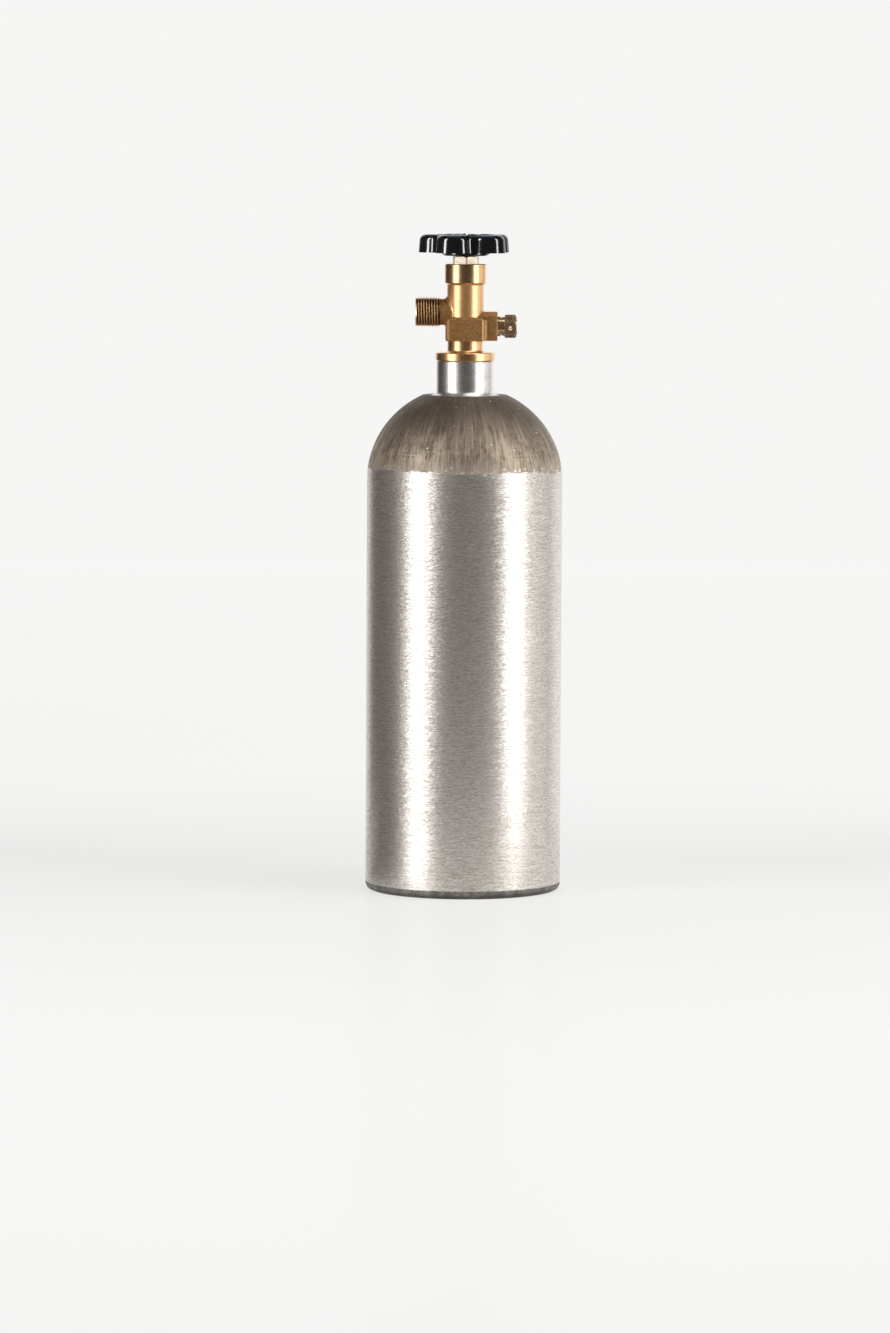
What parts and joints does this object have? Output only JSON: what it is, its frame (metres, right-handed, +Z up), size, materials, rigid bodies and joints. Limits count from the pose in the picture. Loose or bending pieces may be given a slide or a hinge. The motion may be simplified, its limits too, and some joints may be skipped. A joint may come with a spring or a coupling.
{
  "type": "compressed gas cylinder with handwheel valve",
  "caption": "Upright brushed aluminium CO2 gas cylinder with a domed shoulder and a brass valve: black lobed handwheel on top, threaded side outlet and a burst-disc safety plug opposite.",
  "frame": {"origin": "centre of the base ring, on the surface the cylinder stands on", "axes": "+Z up along the cylinder and the valve stem, the threaded outlet points to -X, the safety plug to +X"},
  "size_m": [0.1334, 0.1334, 0.4487],
  "materials": {
    "shell_aluminium": "circumferentially brushed side, unpolished dome",
    "black_rubber": "matte",
    "valve_brass": "turned where machined, matte forged skin on the block",
    "inner_brass": "turned",
    "white_nylon": "smooth",
    "stem_brass": "turned",
    "nut_brass": "bright turned and milled",
    "black_plastic": "glossy moulded",
    "spring_steel": "drawn wire",
    "plated_steel": "zinc plated",
    "blue_nylon": "smooth",
    "plug_brass": "bright turned and milled",
    "disc_nickel": "rolled foil",
    "gasket_copper": null
  },
  "bodies": {
    "cylinder": {"cylinder_shell": "shell_aluminium", "neck_o_ring": "black_rubber", "valve_body": "valve_brass", "gland_nut": "nut_brass", "safety_plug": "plug_brass", "burst_disc": "disc_nickel", "burst_disc_gasket": "gasket_copper"},
    "stem": {"valve_stem": "stem_brass", "stem_o_ring": "black_rubber", "stem_backup_ring": "white_nylon", "stem_thrust_washer": "white_nylon", "handwheel": "black_plastic", "handwheel_insert": "inner_brass", "handwheel_spring": "spring_steel", "spring_retainer_washer": "plated_steel", "handwheel_locknut": "plated_steel", "locknut_nylon_ring": "blue_nylon"},
    "plug": {"seat_plug": "inner_brass", "seat_disc": "white_nylon"}
  },
  "joints": [
    {"name": "handwheel_turn", "type": "hinge", "parent": "cylinder", "child": "stem", "pos_m": [0, 0, 0.43], "axis": [0, 0, 1], "range_deg": [0, 900]},
    {"name": "seat_plug_lift", "type": "slide", "parent": "stem", "child": "plug", "axis": [0, 0, 1], "range_m": [0, 0.00375]}
  ],
  "couplings": [
    {"joint": "seat_plug_lift", "follows": "handwheel_turn", "m_per_rad": 0.00023873}
  ]
}
